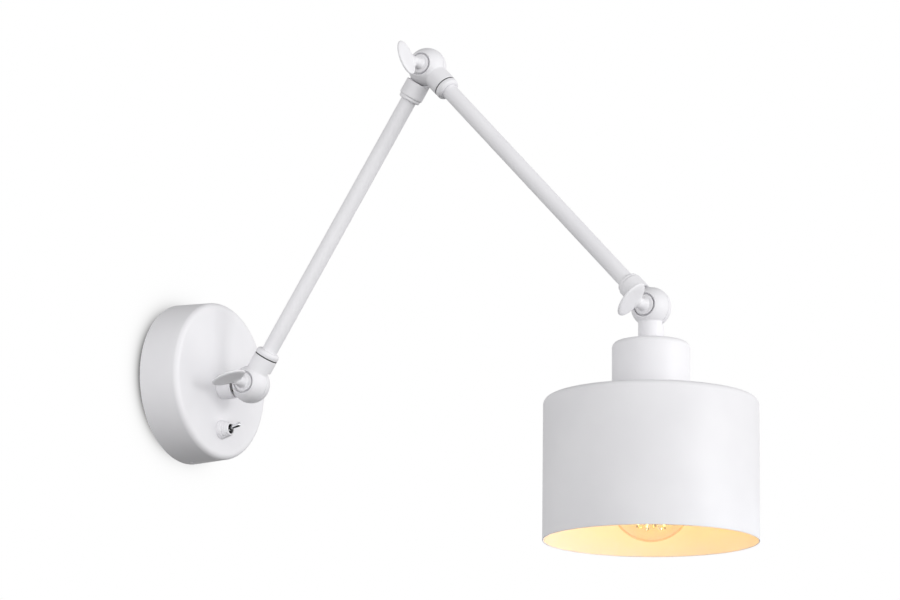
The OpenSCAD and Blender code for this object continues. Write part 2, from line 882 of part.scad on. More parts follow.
// Springy centre contact
module lampholder_contact() {
    color(brass) down_head() {
        translate([-3.5, -8, holder_split + 9.05]) cube([7, 16, 0.6]);
        translate([0, 0, holder_split + 9.6])
            cylinder(r = 3, h = bulb_tip - holder_split - 9.65);
    }
}

// ---- Bulb --------------------------------------------------------------------------------------

// Screw shell of the E27 cap, with rounded thread crests
module bulb_base() {
    turns = 6;
    pitch = 3.6;
    thread = [for (i = [0:turns*8]) let (z = i*pitch/8)
        [bulb_base_r - 0.45 + 0.45*cos(360*i/8), bulb_base_start + 0.6 + z]];
    color(steel) down_head() difference() {
        rotate_extrude() polygon(concat([[0, bulb_base_start], [10.5, bulb_base_start]], thread,
            [[bulb_base_r - 0.1, bulb_base_end], [0, bulb_base_end]]));
        rotate_extrude() polygon([[0, bulb_base_start + 1.2], [11.6, bulb_base_start + 1.2],
            [11.8, bulb_base_end + 1], [0, bulb_base_end + 1]]);
        translate([0, 0, bulb_base_start - 1]) cylinder(r = 5, h = 3);
    }
}

// Black glass insulator with its solder tip
module bulb_contact() {
    color(black) down_head() rotate_extrude()
        polygon([[0, bulb_tip], [3.6, bulb_tip], [4.6, bulb_tip + 1], [9.5, bulb_base_start - 0.2],
            [9.5, bulb_base_start - 0.05], [4.9, bulb_base_start - 0.05],
            [4.9, bulb_base_start + 1.6], [0, bulb_base_start + 1.6]]);
}

// Pear outline: a straight neck, a hollow flare that runs into the globe, and the globe
function bulb_outline(inset) = let (
    r = bulb_r - inset, neck = bulb_neck_r - 1.6 - inset, join = 48,
    neck_z = bulb_base_end - 9, flare_start = bulb_base_end + 4,
    join_r = r*sin(join), join_z = bulb_centre - r*cos(join),
    steps = 10, slope = tan(90 - join)
) concat(
    [[neck, neck_z], [neck, flare_start]],
    // blend between the neck and the globe, starting upright and ending along the globe
    [for (i = [1:steps - 1]) let (
        t = i/steps,
        h00 = 2*t*t*t - 3*t*t + 1, h10 = t*t*t - 2*t*t + t,
        h01 = -2*t*t*t + 3*t*t, h11 = t*t*t - t*t, rise = join_z - flare_start
    ) [h00*neck + h01*join_r + h11*rise/slope, flare_start + t*rise]],
    arc(0, bulb_centre, r, join - 90, 90, 24)
);

module bulb_glass() {
    color([1, 0.9, 0.75, 0.35]) down_head() difference() {
        rotate_extrude() polygon(concat([[0, bulb_base_end - 9]], bulb_outline(0)));
        rotate_extrude() polygon(concat([[0, bulb_base_end - 9 - eps]], [
            for (p = bulb_outline(glass_t)) p[1] < bulb_base_end - 8 ? [p[0], p[1] - eps] : p]));
    }
}

// Glass stem that carries the filaments
module bulb_stem() {
    stem_start = bulb_base_end - 12;
    color([1, 0.95, 0.85, 0.5]) down_head() rotate_extrude()
        polygon([[0, stem_start], [8, stem_start], [8, stem_start + 1.5], [4, stem_start + 9],
            [2.2, stem_start + 15], [1.6, stem_start + 42], [2.4, stem_start + 44],
            [0, stem_start + 45.5]]);
}

// Four straight filament rods that lean outwards round the stem, between two carrier rings
module bulb_filament() {
    top = bulb_base_end + 30;
    bottom = bulb_base_end + 68;
    lean = 10;
    rod_length = (bottom - top)/cos(lean);
    color([1, 0.75, 0.3]) down_head() {
        for (a = [45:90:315]) rotate(a) translate([3.6, 0, top]) rotate([0, lean, 0])
            cylinder(r = 0.9, h = rod_length);
        translate([0, 0, bottom - 0.4]) ring(11.3, 9.3, 0.8);
        translate([0, 0, top - 1]) ring(5, 2.6, 1.4);
    }
}

wall_bracket();
canopy_cover();
cover_screws();
terminal_block();
terminal_screws();
earth_screw();
stub_nipple();
stub_lock_nut();
switch_body();
switch_bushing();
switch_nut();
switch_collar();
switch_seal();
switch_lever();
live_wires();
neutral_wire();
earth_wire();
base_cable();
base_ball_rear();
base_clamp_nut();
base_friction_washer();
base_ball_front();
base_spring_washer();
base_wing_screw();
lower_swivel_washer();
lower_arm_collar();
lower_arm_nipple();
lower_arm_tube();
lower_arm_cable();
elbow_ball_rear();
elbow_clamp_nut();
elbow_friction_washer();
elbow_ball_front();
elbow_spring_washer();
elbow_wing_screw();
upper_swivel_washer();
upper_arm_collar();
upper_arm_nipple();
upper_arm_tube();
upper_arm_cable();
head_ball_rear();
head_clamp_nut();
head_friction_washer();
head_ball_front();
head_spring_washer();
head_wing_screw();
head_nipple();
head_cable();
shade_cap();
shade();
shade_ring();
lampholder_dome();
lampholder_shell();
lampholder_sleeve();
lampholder_contact();
bulb_base();
bulb_contact();
bulb_glass();
bulb_stem();
bulb_filament();
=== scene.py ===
"""White swing arm wall lamp: the looks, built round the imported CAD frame.

Metres, in the row frame: the wall is the plane Y = 0, the lamp stands out of it towards -Y, +Z is up,
and every knuckle hinge lies along X. Sizes in the shape functions are in millimetres, times MM.
"""

import json
import math

import bmesh
import bpy
import numpy as np
from mathutils import Matrix, Vector


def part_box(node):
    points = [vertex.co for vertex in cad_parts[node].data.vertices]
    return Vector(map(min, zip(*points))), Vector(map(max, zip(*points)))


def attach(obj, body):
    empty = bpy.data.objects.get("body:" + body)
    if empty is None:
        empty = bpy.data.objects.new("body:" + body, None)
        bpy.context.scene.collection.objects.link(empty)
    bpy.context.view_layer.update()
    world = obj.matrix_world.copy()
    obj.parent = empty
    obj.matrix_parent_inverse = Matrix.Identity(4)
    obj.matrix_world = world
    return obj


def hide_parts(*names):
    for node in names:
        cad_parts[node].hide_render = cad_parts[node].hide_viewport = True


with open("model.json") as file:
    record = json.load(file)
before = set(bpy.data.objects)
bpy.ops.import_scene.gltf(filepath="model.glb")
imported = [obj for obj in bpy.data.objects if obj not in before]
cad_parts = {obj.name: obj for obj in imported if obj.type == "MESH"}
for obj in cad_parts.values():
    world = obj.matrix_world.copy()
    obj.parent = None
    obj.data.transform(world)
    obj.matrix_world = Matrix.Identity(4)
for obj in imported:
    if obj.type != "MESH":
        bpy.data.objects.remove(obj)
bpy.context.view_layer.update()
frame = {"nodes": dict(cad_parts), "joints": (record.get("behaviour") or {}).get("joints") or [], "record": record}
nodes = frame["nodes"]
joints = {j["name"]: j for j in frame["joints"]}
scene = bpy.context.scene

MM = 0.001
AROUND = 192  # segments of a large turned part


# ---- Places, from the frame ---------------------------------------------------------------------

base_centre = Vector(joints["base_tilt"]["pos_m"])
elbow_centre = Vector(joints["elbow_tilt"]["pos_m"])
head_centre = Vector(joints["head_tilt"]["pos_m"])
lever_pivot = Vector(joints["switch_toggle"]["pos_m"])
lower_way = (elbow_centre - base_centre).normalized()
upper_way = (head_centre - elbow_centre).normalized()
OUT = Vector((0, -1, 0))
DOWN = Vector((0, 0, -1))
UP = Vector((0, 0, 1))
SIDE = Vector((1, 0, 0))


def axes(origin, way, side=SIDE):
    """Matrix whose +Z runs along way from origin, and whose +X is as near side as it can be."""
    z = Vector(way).normalized()
    x = (Vector(side) - Vector(side).dot(z) * z).normalized()
    y = z.cross(x)
    return Matrix.Translation(origin) @ Matrix((x, y, z)).transposed().to_4x4()


def wall_place(node):
    """Centre of a CAD node on the canopy, moved back to the wall."""
    low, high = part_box(node)
    return Vector(((low.x + high.x) / 2, 0, (low.z + high.z) / 2))


# ---- Materials ----------------------------------------------------------------------------------


class Tree:
    """A node tree, with short calls for the nodes used here."""

    def __init__(self, tree):
        self.tree = tree

    def fill(self, socket, value):
        """Links a socket to another one, or sets its value."""
        if isinstance(value, bpy.types.NodeSocket):
            self.tree.links.new(value, socket)
        else:
            socket.default_value = value

    def set(self, node, **sockets):
        for name, value in sockets.items():
            self.fill(node.inputs[name], value)

    def add(self, kind, *values, **sockets):
        """A node, with its first sockets filled in order and others by name."""
        node = self.tree.nodes.new(kind)
        for socket, value in zip(node.inputs, values):
            self.fill(socket, value)
        self.set(node, **sockets)
        return node

    def math(self, operation, *values):
        node = self.add("ShaderNodeMath", *values)
        node.operation = operation
        return node.outputs[0]

    def split(self, vector):
        """The x, y and z of a vector."""
        return list(self.add("ShaderNodeSeparateXYZ", Vector=vector).outputs)[:3]

    def length(self, vector):
        node = self.add("ShaderNodeVectorMath", Vector=vector)
        node.operation = "LENGTH"
        return node.outputs["Value"]

    def between(self, value, low, high, start=0.3, end=0.7):
        """A value from low to high as the input goes from start to end."""
        return self.add(
            "ShaderNodeMapRange",
            Value=value,
            **{"From Min": start, "From Max": end, "To Min": low, "To Max": high},
        ).outputs["Result"]

    def shades(self, value, first, last, start=0.35, end=0.65):
        """A colour from first to last as the input goes from start to end."""
        ramp = self.add("ShaderNodeValToRGB", Fac=value)
        ramp.color_ramp.elements[0].position, ramp.color_ramp.elements[0].color = start, (*first, 1)
        ramp.color_ramp.elements[1].position, ramp.color_ramp.elements[1].color = end, (*last, 1)
        return ramp.outputs["Color"]

    def mix(self, share, first, second):
        """The first shader, with a share of the second."""
        return self.add("ShaderNodeMixShader", share, first.outputs[0], second.outputs[0])


class Nodes(Tree):
    """A material's node tree, round a principled shader."""

    def __init__(self, name, colour, roughness, metallic=0.0):
        self.material = bpy.data.materials.new(name)
        self.material.use_nodes = True
        super().__init__(self.material.node_tree)
        self.shader = self.tree.nodes["Principled BSDF"]
        self.output = self.tree.nodes["Material Output"]
        self.set(self.shader, **{"Base Color": (*colour, 1), "Roughness": roughness, "Metallic": metallic})
        self.place = self.add("ShaderNodeTexCoord").outputs["Object"]

    def noise(self, scale, detail=2.0, roughness=0.5, vector=None):
        return self.add(
            "ShaderNodeTexNoise",
            Vector=vector or self.place,
            Scale=scale,
            Detail=detail,
            Roughness=roughness,
        ).outputs["Fac"]

    def stretched(self, x, y, z):
        """The place, scaled along each axis."""
        node = self.add("ShaderNodeMapping", Vector=self.place)
        node.inputs["Scale"].default_value = (x, y, z)
        return node.outputs["Vector"]

    def bump(self, *layers):
        """Bump from (height, depth in metres) layers, coarse to fine."""
        normal = None
        for height, depth in layers:
            node = self.add("ShaderNodeBump", Height=height, Distance=depth, Strength=1.0)
            if normal is not None:
                self.set(node, Normal=normal)
            normal = node.outputs["Normal"]
        self.set(self.shader, Normal=normal)

    def finish(self, colour, roughness=None):
        self.set(self.shader, **{"Base Color": colour})
        if roughness is not None:
            self.set(self.shader, Roughness=roughness)
        return self.material

    def surface(self, shader):
        """The material with another shader in the principled one's place."""
        self.tree.nodes.remove(self.shader)
        self.tree.links.new(shader.outputs[0], self.output.inputs["Surface"])
        return self.material


def powder_coat():
    """White powder coat: an orange peel about a millimetre across under a fine grain."""
    m = Nodes("powder_coat", (0.833, 0.827, 0.85), 0.5)
    peel, grain, patches = m.noise(620, 2), m.noise(2600, 2), m.noise(24, 2)
    m.set(m.shader, **{"IOR": 1.45, "Coat Weight": 0.04, "Coat Roughness": 0.35})
    m.bump((peel, 9e-6), (grain, 2.2e-6))
    return m.finish(
        m.shades(patches, (0.818, 0.812, 0.836), (0.848, 0.842, 0.864)),
        m.between(grain, 0.44, 0.56),
    )


def zinc_steel():
    """Bright zinc plate, with its crystal patches and fine drawn lines."""
    m = Nodes("zinc_plated_steel", (0.6, 0.61, 0.63), 0.34, 1.0)
    cells = m.add("ShaderNodeTexVoronoi", Vector=m.place, Scale=260.0).outputs["Color"]
    value = m.add("ShaderNodeSeparateColor", Color=cells).outputs["Red"]
    lines = m.noise(900, 2, vector=m.stretched(1, 1, 0.05))
    m.bump((lines, 3e-6), (m.noise(2400), 2e-6))
    return m.finish(
        m.shades(value, (0.52, 0.535, 0.56), (0.68, 0.685, 0.69), 0.1, 0.9),
        m.between(lines, 0.26, 0.44),
    )


def chrome():
    """Polished chrome with faint wiping marks."""
    m = Nodes("polished_chrome", (0.8, 0.81, 0.83), 0.09, 1.0)
    marks = m.noise(800, 3, vector=m.stretched(1, 0.15, 1))
    m.bump((marks, 6e-7))
    return m.finish(
        m.shades(marks, (0.74, 0.75, 0.77), (0.83, 0.84, 0.86)),
        m.between(marks, 0.05, 0.14),
    )


def brass():
    """Machined brass: turning marks and a slight tarnish."""
    m = Nodes("machined_brass", (0.78, 0.57, 0.26), 0.28, 1.0)
    tarnish = m.noise(160, 4)
    turned = m.noise(3000, 1, vector=m.stretched(1, 0.2, 0.2))
    m.bump((turned, 2.5e-6))
    return m.finish(
        m.shades(tarnish, (0.62, 0.42, 0.17), (0.83, 0.63, 0.31)),
        m.between(tarnish, 0.36, 0.22),
    )


def plastic(name, first, last, roughness, grain=1500, depth=3e-6):
    """Moulded plastic with a spark-eroded grain."""
    m = Nodes(name, first, roughness)
    fine, patches = m.noise(grain, 3), m.noise(60, 2)
    m.bump((fine, depth))
    return m.finish(
        m.shades(patches, first, last), m.between(fine, roughness - 0.07, roughness + 0.08)
    )


def earth_insulation():
    """Green insulation with the yellow stripes held in each tube's own attribute."""
    m = Nodes("earth_insulation", (0.1, 0.32, 0.05), 0.36)
    stripe = m.add("ShaderNodeAttribute")
    stripe.attribute_name = "stripe"
    fine = m.noise(1500, 2)
    m.bump((fine, 2e-6))
    return m.finish(
        m.shades(stripe.outputs["Fac"], (0.07, 0.28, 0.04), (0.8, 0.68, 0.04), 0.45, 0.55),
        m.between(fine, 0.3, 0.42),
    )


def clear_glass(name, tint, edge, gloss):
    """Thin clear glass: see-through and glossy, so that the lamp shines out; towards its edges it takes the edge
    colour, a painted reflection of the warm lamp light.
    """
    m = Nodes(name, tint, gloss)
    facing = m.add("ShaderNodeLayerWeight", Blend=0.5).outputs["Facing"]
    steep = m.math("POWER", facing, 5.0)
    ripple = m.add("ShaderNodeBump", Height=m.noise(45, 2), Distance=6e-5, Strength=1.0)
    # Painted reflection: the see-through colour goes warm and darker at grazing angles, standing in for the lit
    # lamp reflected in the glass
    see = m.add("ShaderNodeBsdfTransparent", Color=m.shades(facing, tint, edge, 0.7, 1.0))
    shine = m.add(
        "ShaderNodeBsdfGlossy", Roughness=gloss, Normal=ripple.outputs["Normal"], Color=(1, 1, 1, 1)
    )
    return m.surface(m.mix(m.math("MULTIPLY_ADD", steep, 0.4, 0.012), see, shine))


def filament_glow():
    """Phosphor of a lit filament, brighter where the chips lie under it."""
    m = Nodes("filament_glow", (1.0, 0.75, 0.4), 0.5)
    chips = m.noise(700, 1)
    glow = m.shades(chips, (1.0, 0.5, 0.16), (1.0, 0.72, 0.34))
    m.set(m.shader, **{"Emission Strength": 2.2, "Emission Color": glow})
    m.bump((chips, 2e-5))
    return m.finish(m.shades(chips, (1.0, 0.68, 0.3), (1.0, 0.82, 0.5)))


finishes = {
    "white_paint": powder_coat(),
    "zinc_steel": zinc_steel(),
    "chrome": chrome(),
    "brass": brass(),
    "black_plastic": plastic("black_moulding", (0.018, 0.018, 0.019), (0.03, 0.03, 0.032), 0.42),
    "terminal_plastic": plastic("terminal_moulding", (0.74, 0.71, 0.63), (0.8, 0.78, 0.71), 0.38),
    "brown_wire": plastic("brown_insulation", (0.13, 0.05, 0.02), (0.17, 0.07, 0.03), 0.36),
    "blue_wire": plastic("blue_insulation", (0.02, 0.09, 0.36), (0.03, 0.12, 0.43), 0.36),
    "earth_wire": earth_insulation(),
    "cable_sheath": plastic("cable_sheath", (0.6, 0.6, 0.61), (0.68, 0.68, 0.69), 0.45, 900, 5e-6),
    # The amber edge colours of the bulb and stem glass are painted reflections of the warm lamp light
    "bulb_glass": clear_glass("bulb_glass", (1.0, 0.997, 0.985), (0.93, 0.72, 0.48), 0.03),
    "filament": filament_glow(),
}
stem_glass = clear_glass("stem_glass", (1.0, 0.97, 0.9), (0.8, 0.6, 0.4), 0.06)


# ---- Mesh building ------------------------------------------------------------------------------


def arc(cx, cy, r, start, end, steps=10):
    """Points along an arc, in degrees."""
    turn = [math.radians(start + (end - start) * i / steps) for i in range(steps + 1)]
    return [(cx + r * math.cos(a), cy + r * math.sin(a)) for a in turn]


def oval(a, b, steps):
    """Points round an ellipse of half widths a and b."""
    return [(a * math.cos(t), b * math.sin(t)) for t in np.linspace(0, 2 * math.pi, steps, endpoint=False)]


def lathe(profile, segments=AROUND, closed=True):
    """Bmesh turned about +Z from (radius, height) points in millimetres. A closed profile is a ring's
    section. An open one starts and ends on the axis."""
    bm = bmesh.new()
    rings = []
    for r, z in profile:
        if r < 1e-6:
            rings.append([bm.verts.new((0, 0, z * MM))])
            continue
        turns = [2 * math.pi * i / segments for i in range(segments)]
        rings.append([bm.verts.new((r * MM * math.cos(t), r * MM * math.sin(t), z * MM)) for t in turns])
    pairs = list(zip(rings, rings[1:] + rings[:1])) if closed else list(zip(rings, rings[1:]))
    for a, b in pairs:
        for i in range(segments):
            k = (i + 1) % segments
            corners = [a[i % len(a)], a[k % len(a)], b[k % len(b)], b[i % len(b)]]
            unique = list(dict.fromkeys(corners))
            if len(unique) > 2:
                bm.faces.new(unique)
    bmesh.ops.recalc_face_normals(bm, faces=bm.faces)
    return bm


def to_mesh(name, bm, sharp=32):
    """Mesh of a bmesh, smooth but for edges sharper than the angle."""
    mesh = bpy.data.meshes.new(name)
    bm.to_mesh(mesh)
    bm.free()
    mesh.shade_smooth()
    mesh.set_sharp_from_angle(angle=math.radians(sharp))
    return mesh


def pour(part, whole):
    """Adds a bmesh to a whole one."""
    holder = bpy.data.meshes.new("part")
    part.to_mesh(holder)
    part.free()
    whole.from_mesh(holder)
    bpy.data.meshes.remove(holder)


def joined(*parts):
    """One bmesh from several, each (bmesh, matrix)."""
    whole = bmesh.new()
    for part, matrix in parts:
        part.transform(matrix)
        pour(part, whole)
    return whole


def piece(name, mesh, body, slot, stands_for=(), material=None):
    """A shown piece that rides on a body, in one of the record's finishes."""
    made = bpy.data.objects.new(name, mesh)
    scene.collection.objects.link(made)
    mesh.materials.clear()
    mesh.materials.append(material or finishes[slot])
    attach(made, body)
    if stands_for:
        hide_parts(*stands_for)
    return made


def turned(name, profile, place, body, slot, stands_for=(), segments=AROUND, closed=True, **more):
    """A turned piece whose +Z axis lies as the place says."""
    bm = lathe(profile, segments, closed)
    bm.transform(place)
    return piece(name, to_mesh(name, bm), body, slot, stands_for, **more)


def baked(made):
    """Applies a piece's modifiers to its mesh."""
    bpy.context.view_layer.update()
    graph = bpy.context.evaluated_depsgraph_get()
    mesh = bpy.data.meshes.new_from_object(made.evaluated_get(graph), depsgraph=graph)
    made.modifiers.clear()
    made.data = mesh
    return made


def cast(bm, voxel, rounds):
    """Mesh of a casting: the bmesh's solid with every edge and corner softened, as its coat leaves it."""
    mesh = bpy.data.meshes.new("casting")
    bm.to_mesh(mesh)
    bm.free()
    made = bpy.data.objects.new("casting", mesh)
    scene.collection.objects.link(made)
    remesh = made.modifiers.new("remesh", "REMESH")
    remesh.mode, remesh.voxel_size, remesh.use_smooth_shade = "VOXEL", voxel * MM, True
    smooth = made.modifiers.new("smooth", "SMOOTH")
    smooth.factor, smooth.iterations = 0.5, rounds
    mesh = baked(made).data.copy()
    bpy.data.objects.remove(made)
    mesh.shade_smooth()
    return mesh


def solid_of(*names):
    """Bmesh of CAD nodes, with their split vertices joined again."""
    bm = bmesh.new()
    for name in names:
        bm.from_mesh(nodes[name].data)
    bmesh.ops.remove_doubles(bm, verts=bm.verts, dist=1e-7)
    return bm


def smooth_route(points, steps=12):
    """Points along a smooth curve through the given ones."""
    p = [Vector(q) for q in points]
    out = []
    for i in range(len(p) - 1):
        a, b, c, d = p[max(i - 1, 0)], p[i], p[i + 1], p[min(i + 2, len(p) - 1)]
        for k in range(steps):
            t = k / steps
            bend = (2 * a - 5 * b + 4 * c - d) * t**2 + (3 * b - a - 3 * c + d) * t**3
            out.append(0.5 * (2 * b + (c - a) * t + bend))
    return out + [p[-1]]


def tube(route, radius, sides=20, stripe_turns=0.0):
    """Bmesh of a round wire along a route in millimetres, with a stripe attribute that winds round it."""
    bm = bmesh.new()
    stripe = bm.verts.layers.float.new("stripe")
    path = [p * MM for p in smooth_route(route)]
    normal = Vector((1, 0.3, 0.2)).orthogonal()
    rings, gone = [], 0.0
    for i, p in enumerate(path):
        ahead = (path[min(i + 1, len(path) - 1)] - path[max(i - 1, 0)]).normalized()
        normal = (normal - normal.dot(ahead) * ahead).normalized()
        other = ahead.cross(normal)
        gone += (p - path[i - 1]).length if i else 0.0
        ring = []
        for k in range(sides):
            a = 2 * math.pi * k / sides
            v = bm.verts.new(p + radius * MM * (math.cos(a) * normal + math.sin(a) * other))
            v[stripe] = 0.5 + 0.5 * math.cos(a + 2 * math.pi * stripe_turns * gone / 0.01)
            ring.append(v)
        rings.append(ring)
    for a, b in zip(rings, rings[1:]):
        for k in range(sides):
            n = (k + 1) % sides
            bm.faces.new((a[k], a[n], b[n], b[k]))
    bm.faces.new(rings[0][::-1])
    bm.faces.new(rings[-1])
    bmesh.ops.recalc_face_normals(bm, faces=bm.faces)
    return bm


# ---- Canopy -------------------------------------------------------------------------------------

canopy_low, canopy_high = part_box("canopy_cover")
CANOPY_R = (canopy_high.x - canopy_low.x) / 2 / MM
CANOPY_DEPTH = -canopy_low.y / MM
CANOPY_HEM, CANOPY_WALL, CANOPY_EDGE = 1.2, 1.2, 4.5
CANOPY_FACE_R = CANOPY_R - CANOPY_HEM
STUB_HOLE_R, SWITCH_HOLE_R, GRUB_HOLE_R = 5.3, 6.05, 1.7
switch_place = wall_place("switch_collar")


def canopy_profile():
    """Section of the canopy's pressed shell: (radius, distance from the wall), with a rounded hem."""
    hem = CANOPY_WALL / 2
    outer = arc(CANOPY_FACE_R - CANOPY_EDGE, CANOPY_DEPTH - CANOPY_EDGE, CANOPY_EDGE, 0, 90, 16)
    inner_edge = CANOPY_EDGE - CANOPY_WALL
    inner = arc(CANOPY_FACE_R - CANOPY_EDGE, CANOPY_DEPTH - CANOPY_EDGE, inner_edge, 90, 0, 12)
    rim = arc(CANOPY_R - hem, hem, hem, -180, 0, 10)
    face = [(CANOPY_FACE_R * k / 12, CANOPY_DEPTH) for k in range(11, 0, -1)]
    back = [(CANOPY_FACE_R * k / 12, CANOPY_DEPTH - CANOPY_WALL) for k in range(1, 12)]
    return rim + outer + face + [(0, CANOPY_DEPTH)] + [(0, CANOPY_DEPTH - CANOPY_WALL)] + back + inner


def drilled(made, *holes):
    """Cuts round holes, each (place, radius), through a piece."""
    reach = 90
    for i, (place, radius) in enumerate(holes):
        bm = lathe([(0, -reach), (radius, -reach), (radius, reach), (0, reach)], 64, closed=False)
        bm.transform(place)
        cutter = bpy.data.objects.new(f"cutter{i}", to_mesh("cutter", bm))
        scene.collection.objects.link(cutter)
        cut = made.modifiers.new("hole", "BOOLEAN")
        cut.object, cut.operation, cut.solver = cutter, "DIFFERENCE", "EXACT"
        baked(made)
        bpy.data.objects.remove(cutter)
    made.data.shade_smooth()
    made.data.set_sharp_from_angle(angle=math.radians(35))
    return made


canopy = turned(
    "canopy_shell", canopy_profile(), axes((0, 0, 0), OUT), "canopy", "white_paint", ("canopy_cover",)
)
grub_low, grub_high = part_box("cover_screws")
stub_place = Vector((0, 0, base_centre.z))
grub_place = Vector((0, (grub_low.y + grub_high.y) / 2, 0))
drilled(
    canopy,
    (axes(stub_place, OUT), STUB_HOLE_R),
    (axes(switch_place, OUT), SWITCH_HOLE_R),
    (axes(grub_place, UP), GRUB_HOLE_R),
)

# ---- Toggle switch ------------------------------------------------------------------------------

collar_low, collar_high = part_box("switch_collar")
COLLAR_R = (collar_high.x - collar_low.x) / 2 / MM
COLLAR_START = -collar_high.y / MM
COLLAR_LENGTH = (collar_high.y - collar_low.y) / MM
COLLAR_TIP_R, RIBS, RIB_DEPTH = 4.9, 5, 0.4
MOUTH_R, COLLAR_BORE_R, COLLAR_BORE = 3.9, 6.0, 3.0


def ribbed_collar():
    """Section of the tapering collar nut: ribs with rounded crests, and a round lip at its mouth."""
    outline = []
    for i in range(RIBS * 10 + 1):
        t = i / (RIBS * 10)
        crest = 1 - abs(2 * ((t * RIBS) % 1.0) - 1) ** 3 if 0 < t < 1 else 0.0
        r = COLLAR_R + (COLLAR_TIP_R - COLLAR_R) * t**1.15 - RIB_DEPTH * (1 - crest)
        outline.append((r, COLLAR_START + COLLAR_LENGTH * t))
    end, bore_end = COLLAR_START + COLLAR_LENGTH, COLLAR_START + COLLAR_BORE
    mouth = [(MOUTH_R + 0.15, end), (MOUTH_R, end - 0.2), (MOUTH_R, bore_end)]
    return outline + mouth + [(COLLAR_BORE_R, bore_end), (COLLAR_BORE_R, COLLAR_START)]


turned(
    "switch_collar_nut",
    ribbed_collar(),
    axes(switch_place, OUT),
    "canopy",
    "white_paint",
    ("switch_collar",),
    segments=96,
)

# The lever: a ball on its pivot, and a bat that widens towards a round tip
LEVER_ANGLE = math.radians(14)
LEVER_BALL_R, LEVER_REACH = 2.7, 12.8
lever_way = Vector((0, -math.cos(LEVER_ANGLE), math.sin(LEVER_ANGLE)))
lever_profile = (
    [(0, -LEVER_BALL_R)]
    + arc(0, 0, LEVER_BALL_R, -80, 60, 14)
    + [(1.35, 2.6), (1.4, 4), (1.55, 7), (1.72, 9.6)]
    + arc(0.25, LEVER_REACH - 1.6, 1.5, 20, 88, 8)
    + [(0, LEVER_REACH)]
)
turned(
    "switch_bat",
    lever_profile,
    axes(lever_pivot, lever_way),
    "switch_lever",
    "chrome",
    ("switch_lever",),
    segments=64,
    closed=False,
)
SEAL_VOXEL, SEAL_ROUNDS = 0.12, 4
seal = cast(solid_of("switch_seal"), SEAL_VOXEL, SEAL_ROUNDS)
piece("switch_boot", seal, "canopy", "black_plastic", ("switch_seal",))

# ---- Knuckles -----------------------------------------------------------------------------------

CAST_VOXEL, CAST_ROUNDS = 0.36, 5
for node, body in (
    ("base_ball_rear", "canopy"),
    ("base_ball_front", "base_knuckle"),
    ("elbow_ball_rear", "lower_arm"),
    ("elbow_ball_front", "elbow_knuckle"),
    ("head_ball_rear", "upper_arm"),
    ("head_ball_front", "head"),
):
    mesh = cast(solid_of(node), CAST_VOXEL, CAST_ROUNDS)
    piece(node + "_casting", mesh, body, "white_paint", (node,))

# Wing screws: places along the screw, out from the ball's centre
DISC_START, DISC_END, DISC_R = 9.35, 11.75, 7.4
BOSS_R, BOSS_END = 4.4, 22.0
BLADE_CENTRE, BLADE_HALF, BLADE_T = 30.0, (14.0, 10.4), 3.0
WEB_CENTRE, WEB_HALF = 21.5, (5.6, 2.2, 4.2)  # the swelling where the blade leaves its boss
SCREW_R, SCREW_END, THREAD_PITCH, THREAD_END = 2.5, -11.65, 0.8, -4.0
WING_VOXEL, WING_ROUNDS = 0.3, 6


def blade():
    """Bmesh of the oval blade, long side along X: full in the middle, with a rounded edge."""
    bm = bmesh.new()
    steps, spread = 96, [1 - (1 - k / 14) ** 2.2 for k in range(15)]
    sides = []
    for sign in (1, -1):
        rings = []
        for s in spread:
            half = sign * BLADE_T / 2 * (0.93 + 0.07 * (1 - s * s)) * (1 - s**9) ** 0.5
            points = [(0, 0)] if s == 0 else oval(BLADE_HALF[0] * s, BLADE_HALF[1] * s, steps)
            rings.append([bm.verts.new((x * MM, half * MM, (BLADE_CENTRE + z) * MM)) for x, z in points])
        sides.append(rings)
    for rings in sides:
        for a, b in zip(rings, rings[1:]):
            for i in range(steps):
                k = (i + 1) % steps
                corners = dict.fromkeys([a[i % len(a)], a[k % len(a)], b[k], b[i]])
                bm.faces.new(list(corners))
    bmesh.ops.remove_doubles(bm, verts=bm.verts, dist=1e-7)
    bmesh.ops.recalc_face_normals(bm, faces=bm.faces)
    return bm


def thread_profile():
    """Open section of the M5 screw, with its thread crests towards the nut."""
    points, z = [(0, SCREW_END), (SCREW_R - 0.5, SCREW_END)], SCREW_END + 0.5
    while z < THREAD_END:
        crest = [(SCREW_R, z), (SCREW_R, z + 0.15)]
        points += [(SCREW_R - 0.35, z - 0.2)] + crest + [(SCREW_R - 0.35, z + 0.35)]
        z += THREAD_PITCH
    return points + [(SCREW_R, z), (SCREW_R, DISC_START + 0.4), (0, DISC_START + 0.4)]


def wing_screw(name, node, centre, body, angle):
    """Wing screw with its long side the angle above the outward horizontal."""
    a = math.radians(angle)
    place = axes(centre, -SIDE, (0, -math.cos(a), math.sin(a)))
    still = Matrix.Identity(4)
    disc = (
        [(0, DISC_START), (DISC_R - 0.3, DISC_START), (DISC_R, DISC_START + 0.3)]
        + arc(DISC_R - 0.7, DISC_END - 0.7, 0.7, 0, 90, 6)
        + arc(BOSS_R + 1.3, DISC_END + 1.3, 1.3, 270, 180, 8)
        + [(BOSS_R - 0.15, 15.5), (BOSS_R - 0.4, 17.5)]
        + arc(BOSS_R - 3.0, BOSS_END - 2.6, 2.6, 0, 90, 8)
        + [(0, BOSS_END + 0.1)]
    )
    web = bmesh.new()
    bmesh.ops.create_uvsphere(web, u_segments=48, v_segments=32, radius=1)
    web_size = Matrix.Diagonal((*(half * MM for half in WEB_HALF), 1))
    web_place = Matrix.Translation((0, 0, WEB_CENTRE * MM)) @ web_size
    shapes = (lathe(disc, 96, closed=False), still), (blade(), still), (web, web_place)
    whole = bmesh.new()
    whole.from_mesh(cast(joined(*shapes), WING_VOXEL, WING_ROUNDS))
    pour(lathe(thread_profile(), 48, closed=False), whole)
    whole.transform(place)
    piece(name, to_mesh(name, whole, 50), body, "white_paint", (node,))


